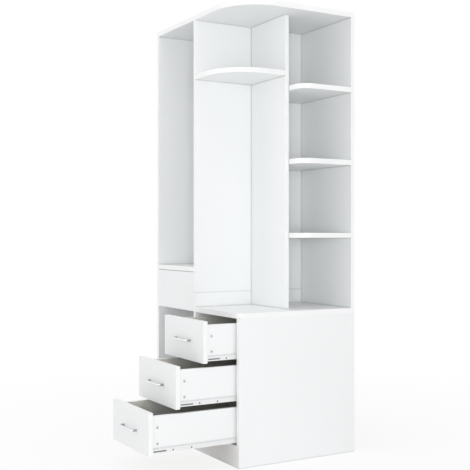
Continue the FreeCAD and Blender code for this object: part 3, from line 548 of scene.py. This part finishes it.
def plain_beech(name, finish):
    """Beech with fine flecks along the grain."""
    material, tree, shader = shader_nodes(name)
    along_grain = stretched(tree, object_place(tree), scale=(900.0, 900.0, 60.0))
    flecks = noise(tree, along_grain, scale=1.0, detail=4.0, roughness=0.65)
    paint(tree, shader, mottled(tree, flecks, finish.beech, dark=0.80, light=1.10))
    dull(tree, shader, ranged(tree, flecks, low=0.50, high=0.65))
    emboss(tree, shader, flecks, depth=0.00005, strength=0.30)
    return material


def dress(node, material, arris=None):
    """Give a CAD node its material, and round its edges where an arris is given."""
    slots = NODES[node].data.materials
    slots.clear()
    slots.append(material)
    if arris is not None:
        soften(node, arris)


def soften(node, arris):
    """Round a CAD node's edges a little, with modifiers that leave its mesh as it is."""
    modifiers = NODES[node].modifiers
    weld = modifiers.new("one_skin", "WELD")
    weld.merge_threshold = WELD_GAP
    flat = modifiers.new("flat_faces", "DECIMATE")
    flat.decimate_type = "DISSOLVE"
    flat.angle_limit = FLAT_LEAN
    rounding = modifiers.new("arris", "BEVEL")
    rounding.width = arris
    rounding.segments = ARRIS_SEGMENTS
    rounding.limit_method = "ANGLE"
    rounding.angle_limit = EDGE_LEAN
    modifiers.new("even_shading", "WEIGHTED_NORMAL")


def add_piece(name, shape, materials, body):
    """Put a new mesh into the scene as a piece that rides on a body."""
    bmesh.ops.recalc_face_normals(shape, faces=shape.faces)
    mesh = bpy.data.meshes.new(name)
    shape.to_mesh(mesh)
    shape.free()
    for material in materials:
        mesh.materials.append(material)
    piece = bpy.data.objects.new(name, mesh)
    bpy.context.scene.collection.objects.link(piece)
    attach(piece, body)


def ring(shape, place, radius, height):
    """Vertices of a circle round the X axis of a place."""
    turns = [2.0 * math.pi * index / HEAD_POINTS for index in range(HEAD_POINTS)]
    return [
        shape.verts.new(place @ Vector((height, radius * math.cos(turn), radius * math.sin(turn))))
        for turn in turns
    ]


def cross(shape, place, reach, half_width, height):
    """Vertices of a cross round the X axis of a place; reach is half its length along Y and Z."""
    (y, z), w = reach, half_width
    corners = (
        (y, -w), (y, w), (w, w), (w, z), (-w, z), (-w, w),
        (-y, w), (-y, -w), (-w, -w), (-w, -z), (w, -z), (w, -w),
    )
    return [shape.verts.new(place @ Vector((height, *corner))) for corner in corners]


def join_rings(shape, lower, upper):
    """A band of quads between two rings of equal count."""
    count = len(lower)
    for index in range(count):
        after = (index + 1) % count
        shape.faces.new((lower[index], lower[after], upper[after], upper[index]))


def loop_edges(shape, loop):
    """The edges round a loop of vertices, made where they are missing."""
    pairs = zip(loop, loop[1:] + loop[:1])
    return [shape.edges.get(pair) or shape.edges.new(pair) for pair in pairs]


def cross_head(shape, place, profile, reach, half_width, recess):
    """A turned head with a cross recess; its profile is radius and height pairs from the base up."""
    rings = [ring(shape, place, radius, height) for radius, height in profile]
    shape.faces.new(rings[0])
    for lower, upper in zip(rings, rings[1:]):
        join_rings(shape, lower, upper)
    rim = profile[-1][1]
    mouth = cross(shape, place, reach, half_width, rim)
    floor_reach = [FLOOR_REACH * length for length in reach]
    floor = cross(shape, place, floor_reach, FLOOR_WIDTH * half_width, rim - recess)
    join_rings(shape, mouth, floor)
    # The recess's floor takes the second material, darker as painted shade in the recess
    shape.faces.new(floor).material_index = 1
    bmesh.ops.bridge_loops(shape, edges=loop_edges(shape, rings[-1]) + loop_edges(shape, mouth))


def ribbed_catch(shape, place):
    """A ribbed strip that lies in a runner's slot, just below the runner's face."""
    near, far = SLOT_DEPTHS[0] + CATCH_PLAY, SLOT_DEPTHS[1] - CATCH_PLAY
    low, high = SLOT_HEIGHTS[0] + CATCH_PLAY, SLOT_HEIGHTS[1] - CATCH_PLAY
    step = (far - near) / CATCH_RIBS
    sections = []
    for index in range(CATCH_RIBS + 1):
        for offset, top in ((-RIB_HALF, -RIB_DEPTH), (RIB_HALF, 0.0)):
            sections.append((min(max(near + (index + offset) * step, near), far), top))
    previous = None
    for depth, top in sections[1:-1]:
        corners = ((-SLOT_FLOOR, low), (top, low), (top, high), (-SLOT_FLOOR, high))
        loop = [shape.verts.new(place @ Vector((x, depth, z))) for x, z in corners]
        if previous is None:
            shape.faces.new(loop)
        else:
            join_rings(shape, previous, loop)
        previous = loop
    shape.faces.new(previous)


def drawer_corner(drawer):
    """Y of the front face of a drawer front, and Z of its lower edge."""
    low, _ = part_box(f"{drawer}_drawer_front")
    return low[1], low[2]


def side_face(drawer, side):
    """X of the outer face of a drawer side."""
    low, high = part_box(f"{drawer}_drawer_side_{side}")
    return high[0] if SIDES[side] > 0.0 else low[0]


def outlook(way, x, y, z):
    """A place whose own X axis looks along X, one way or the other."""
    return Matrix.Translation((x, y, z)) @ Matrix.Diagonal((way, 1.0, 1.0, 1.0))


class WARDROBE_OT_carcass(bpy.types.Operator):
    """Finish the boards of the carcass in white melamine"""

    bl_idname = "wardrobe.carcass"
    bl_label = "Carcass Boards"

    def execute(self, context):
        finish = context.scene.wardrobe_finish
        arris = context.scene.wardrobe_detail.board_arris
        for axis, boards in CARCASS_BOARDS.items():
            material = melamine(f"white_melamine_{axis}", finish, axis)
            for node in boards:
                dress(node, material, arris)
        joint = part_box("divider_upper")[0][2]
        material = melamine("divider_melamine", finish, "x", butt_height=joint)
        for node in DIVIDER_BOARDS:
            dress(node, material, arris)
        return {"FINISHED"}


class WARDROBE_OT_drawers(bpy.types.Operator):
    """Finish the boards of the drawers, lined on their inner faces"""

    bl_idname = "wardrobe.drawers"
    bl_label = "Drawer Boards"

    def execute(self, context):
        finish = context.scene.wardrobe_finish
        arris = context.scene.wardrobe_detail.board_arris
        for board, (axis, lined_way) in DRAWER_BOARDS.items():
            material = melamine(f"drawer_{board}_melamine", finish, axis, lined_way)
            for drawer in DRAWERS:
                dress(f"{drawer}_drawer_{board}", material, arris)
        return {"FINISHED"}


class WARDROBE_OT_sheets(bpy.types.Operator):
    """Finish the fibreboard backs and drawer bottoms"""

    bl_idname = "wardrobe.sheets"
    bl_label = "Fibreboard Sheets"

    def execute(self, context):
        finish = context.scene.wardrobe_finish
        arris = context.scene.wardrobe_detail.sheet_arris
        upright = fibreboard("back_fibreboard", finish.backs, finish.raw, "y", 1)
        level = fibreboard("bottom_fibreboard", finish.bottoms, finish.raw, "z", -1, hollow=True)
        for node in ("left_back", "chest_back"):
            dress(node, upright, arris)
        for drawer in DRAWERS:
            dress(f"{drawer}_drawer_bottom", level, arris)
        return {"FINISHED"}


class WARDROBE_OT_runners(bpy.types.Operator):
    """Finish the runners, the channels and their rollers"""

    bl_idname = "wardrobe.runners"
    bl_label = "Roller Runners"

    def execute(self, context):
        finish = context.scene.wardrobe_finish
        arris = context.scene.wardrobe_detail.sheet_arris
        steel = powder_coat("white_powder_coat", finish)
        nylon = moulded_nylon("roller_nylon", finish)
        for drawer in DRAWERS:
            for side in SIDES:
                dress(f"{drawer}_drawer_runner_{side}", steel, arris)
                dress(f"{drawer}_channel_{side}", steel, arris)
            dress(f"{drawer}_drawer_rollers", nylon)
            dress(f"{drawer}_channel_rollers", nylon)
        return {"FINISHED"}


class WARDROBE_OT_handles(bpy.types.Operator):
    """Finish the bow handles in brushed steel"""

    bl_idname = "wardrobe.handles"
    bl_label = "Bow Handles"

    def execute(self, context):
        material = brushed_steel("brushed_handle_steel", context.scene.wardrobe_finish)
        for drawer in DRAWERS:
            dress(f"{drawer}_drawer_handle", material)
        return {"FINISHED"}


class WARDROBE_OT_fittings(bpy.types.Operator):
    """Finish the cam locks, bolts, screws and dowels"""

    bl_idname = "wardrobe.fittings"
    bl_label = "Fittings"

    def execute(self, context):
        finish = context.scene.wardrobe_finish
        zinc = satin_zinc("satin_zinc", finish.zinc, ZINC_METAL)
        for drawer in DRAWERS:
            dress(f"{drawer}_drawer_fittings", zinc)
        dress("carcass_dowels", plain_beech("beech_dowels", finish))
        return {"FINISHED"}


class WARDROBE_OT_cam_faces(bpy.types.Operator):
    """Add the slotted faces of the cam locks in the drawer sides"""

    bl_idname = "wardrobe.cam_faces"
    bl_label = "Cam Lock Faces"

    def execute(self, context):
        finish = context.scene.wardrobe_finish
        materials = (
            satin_zinc("cam_face_zinc", finish.cam, DULL_METAL),
            # The second colour is painted shade in the slots
            satin_zinc("cam_slot", finish.cam_slot, DULL_METAL),
        )
        slots = (CAM_SLOT_REACH, CAM_SLOT_HALF, CAM_SLOT_DEPTH)
        for drawer in DRAWERS:
            shape = bmesh.new()
            front, low = drawer_corner(drawer)
            for side, way in SIDES.items():
                base = side_face(drawer, side) - way * CAM_RECESS
                for height in CAM_HEIGHTS:
                    place = outlook(way, base, front + CAM_DEPTH, low + height)
                    cross_head(shape, place, CAM_PROFILE, *slots)
            name = f"{drawer}_drawer_cam_faces"
            add_piece(name, shape, materials, f"{drawer}_drawer")
        return {"FINISHED"}


class WARDROBE_OT_runner_screws(bpy.types.Operator):
    """Add the screws that hold the runners on the drawers and the channels on the carcass"""

    bl_idname = "wardrobe.runner_screws"
    bl_label = "Runner Screws"

    def execute(self, context):
        detail = context.scene.wardrobe_detail
        finish = context.scene.wardrobe_finish
        materials = (
            satin_zinc("runner_screw", finish.screw, SCREW_METAL),
            # The second colour is painted shade in the recesses
            satin_zinc("screw_recess", finish.recess_shade, DULL_METAL),
        )
        radius, rise = detail.screw_head, detail.screw_rise
        profile = (
            (SHANK_RADIUS, -SHANK_LENGTH), (SHANK_RADIUS, 0.0),
            (radius, 0.0), (radius, rise * HEAD_WALL), (radius * HEAD_CROWN, rise),
        )
        recess = (SCREW_RECESS_REACH, SCREW_RECESS_HALF, rise + SCREW_RECESS_BELOW)
        for drawer in DRAWERS:
            on_drawer, on_carcass = bmesh.new(), bmesh.new()
            front, low = drawer_corner(drawer)
            for side, way in SIDES.items():
                face = side_face(drawer, side)
                for depth in SCREW_DEPTHS:
                    place = outlook(way, face + way * RUNNER_SHEET, front + depth, low + SCREW_HEIGHT)
                    cross_head(on_drawer, place, profile, *recess)
                web, level = face + way * CHANNEL_SPACE, low + CHANNEL_SCREW_HEIGHT
                for depth in CHANNEL_SCREW_DEPTHS:
                    place = outlook(-way, web, CARCASS_FRONT + depth, level)
                    cross_head(on_carcass, place, profile, *recess)
            drawer_body = f"{drawer}_drawer"
            add_piece(f"{drawer}_runner_screws", on_drawer, materials, drawer_body)
            add_piece(f"{drawer}_channel_screws", on_carcass, materials, "carcass")
        return {"FINISHED"}


class WARDROBE_OT_catches(bpy.types.Operator):
    """Add the catches in the hook slots of the drawer runners, dark as painted shade for the slots"""

    bl_idname = "wardrobe.catches"
    bl_label = "Slot Catches"

    def execute(self, context):
        # Dark plastic as painted shade in the slots
        material = moulded_plastic("catch_plastic", context.scene.wardrobe_finish.catch_shade)
        for drawer in DRAWERS:
            shape = bmesh.new()
            front, low = drawer_corner(drawer)
            for side, way in SIDES.items():
                ribbed_catch(shape, outlook(way, side_face(drawer, side), front, low))
            name = f"{drawer}_runner_catches"
            add_piece(name, shape, (material,), f"{drawer}_drawer")
        return {"FINISHED"}


class WARDROBE_OT_stage(bpy.types.Operator):
    """Set the camera, the floor and the studio light"""

    bl_idname = "wardrobe.stage"
    bl_label = "Stage"

    def execute(self, context):
        scene = context.scene
        stage = scene.wardrobe_stage
        self.set_camera(scene, stage)
        self.lay_floor(scene)
        self.light_world(scene, stage)
        for name, (place, side, power) in SOFT_BOXES.items():
            self.hang_light(scene, name, place, side, getattr(stage, power))
        scene.view_settings.view_transform = "Standard"
        return {"FINISHED"}

    def set_camera(self, scene, stage):
        """A level camera that stands where the photograph was taken from."""
        camera = bpy.data.objects.new("photo_camera", bpy.data.cameras.new("photo_camera"))
        scene.collection.objects.link(camera)
        camera.data.sensor_width = SENSOR_MM
        camera.data.lens = stage.focal_pixels / PHOTO_SIDE * SENSOR_MM
        camera.location = stage.camera_place
        camera.rotation_euler = (LEVEL, 0.0, stage.camera_turn)
        scene.camera = camera

    def lay_floor(self, scene):
        """A pale floor that looks almost white, keeps a soft shadow and fades to white."""
        mesh = bpy.data.meshes.new("studio_floor")
        shape = bmesh.new()
        bmesh.ops.create_grid(shape, x_segments=FLOOR_CELLS, y_segments=FLOOR_CELLS, size=FLOOR_HALF)
        shape.to_mesh(mesh)
        shape.free()
        floor = bpy.data.objects.new("studio_floor", mesh)
        scene.collection.objects.link(floor)
        floor.location.z = -FLOOR_DROP
        mesh.materials.append(self.floor_paper())

    def floor_paper(self):
        """Matt paper, partly plain white where it is seen and darker for the light that it throws back."""
        material, tree, shader = shader_nodes("studio_floor")
        place = object_place(tree)
        cloud = noise(tree, place, scale=2.0)
        seen = self.seen_rays(tree)
        tones = [mottled(tree, cloud, WHITE[:3], *levels) for levels in (FLOOR_PALE, FLOOR_SEEN)]
        paint(tree, shader, mixed(tree, seen, *tones))
        shader.inputs["Roughness"].default_value = FLOOR_ROUGHNESS
        shader.inputs["Specular IOR Level"].default_value = 0.0
        white = add(tree, "ShaderNodeEmission", {"Color": WHITE, "Strength": 1.0})
        away = add(tree, "ShaderNodeVectorMath", {0: place}, operation="LENGTH").outputs["Value"]
        white_share = ranged(tree, away, FLOOR_WHITE, 1.0, start=FLOOR_NEAR, end=FLOOR_FADE)
        share = calc(tree, "MULTIPLY", seen, white_share)
        blend = add(
            tree, "ShaderNodeMixShader",
            {0: share, 1: shader.outputs["BSDF"], 2: white.outputs["Emission"]},
        )
        tree.links.new(blend.outputs["Shader"], tree.nodes["Material Output"].inputs["Surface"])
        return material

    def seen_rays(self, tree):
        """1 for camera, glossy and transmitted rays, 0 for the light that falls on the object."""
        path = add(tree, "ShaderNodeLightPath").outputs
        clear = calc(tree, "MAXIMUM", path["Is Glossy Ray"], path["Is Transmission Ray"])
        return calc(tree, "MAXIMUM", path["Is Camera Ray"], clear)

    def light_world(self, scene, stage):
        """Even light from all round, which looks plain white."""
        world = bpy.data.worlds.new("studio")
        scene.world = world
        world.use_nodes = True
        tree = world.node_tree
        strength = ranged(tree, self.seen_rays(tree), stage.ambient, 1.0)
        background = tree.nodes["Background"]
        background.inputs["Color"].default_value = WHITE
        tree.links.new(strength, background.inputs["Strength"])

    def hang_light(self, scene, name, place, side, power):
        """A square soft box that looks at the middle of the object."""
        lamp = bpy.data.lights.new(name, "AREA")
        lamp.size = side
        lamp.energy = power
        light = bpy.data.objects.new(name, lamp)
        scene.collection.objects.link(light)
        light.location = place
        light.visible_camera = False
        aim = LIGHT_AIM - Vector(place)
        light.rotation_euler = aim.to_track_quat("-Z", "Y").to_euler()


class WARDROBE_PT_panel(bpy.types.Panel):
    """Sizes, colours and steps of the wardrobe"""

    bl_label = "Wardrobe"
    bl_idname = "WARDROBE_PT_panel"
    bl_space_type = "VIEW_3D"
    bl_region_type = "UI"
    bl_category = "Wardrobe"

    def draw(self, context):
        layout = self.layout
        for group in PROPERTY_GROUPS:
            settings = getattr(context.scene, group)
            box = layout.box()
            for name in settings.bl_rna.properties.keys():
                if name not in ("rna_type", "name"):
                    box.prop(settings, name)
        for operator in OPERATORS:
            layout.operator(operator.bl_idname)


PROPERTY_GROUPS = {
    "wardrobe_finish": WardrobeFinish,
    "wardrobe_detail": WardrobeDetail,
    "wardrobe_stage": WardrobeStage,
}
OPERATORS = (
    WARDROBE_OT_carcass,
    WARDROBE_OT_drawers,
    WARDROBE_OT_sheets,
    WARDROBE_OT_runners,
    WARDROBE_OT_handles,
    WARDROBE_OT_fittings,
    WARDROBE_OT_cam_faces,
    WARDROBE_OT_runner_screws,
    WARDROBE_OT_catches,
    WARDROBE_OT_stage,
)
CLASSES = (*PROPERTY_GROUPS.values(), *OPERATORS, WARDROBE_PT_panel)


def register():
    for item in CLASSES:
        bpy.utils.register_class(item)
    for name, group in PROPERTY_GROUPS.items():
        setattr(bpy.types.Scene, name, PointerProperty(type=group))


def unregister():
    for name in PROPERTY_GROUPS:
        delattr(bpy.types.Scene, name)
    for item in reversed(CLASSES):
        bpy.utils.unregister_class(item)


def main():
    register()
    bpy.ops.wardrobe.stage()
    bpy.ops.wardrobe.carcass()
    bpy.ops.wardrobe.drawers()
    bpy.ops.wardrobe.sheets()
    bpy.ops.wardrobe.runners()
    bpy.ops.wardrobe.handles()
    bpy.ops.wardrobe.fittings()
    bpy.ops.wardrobe.cam_faces()
    bpy.ops.wardrobe.runner_screws()
    bpy.ops.wardrobe.catches()


if __name__ == "__main__":
    main()
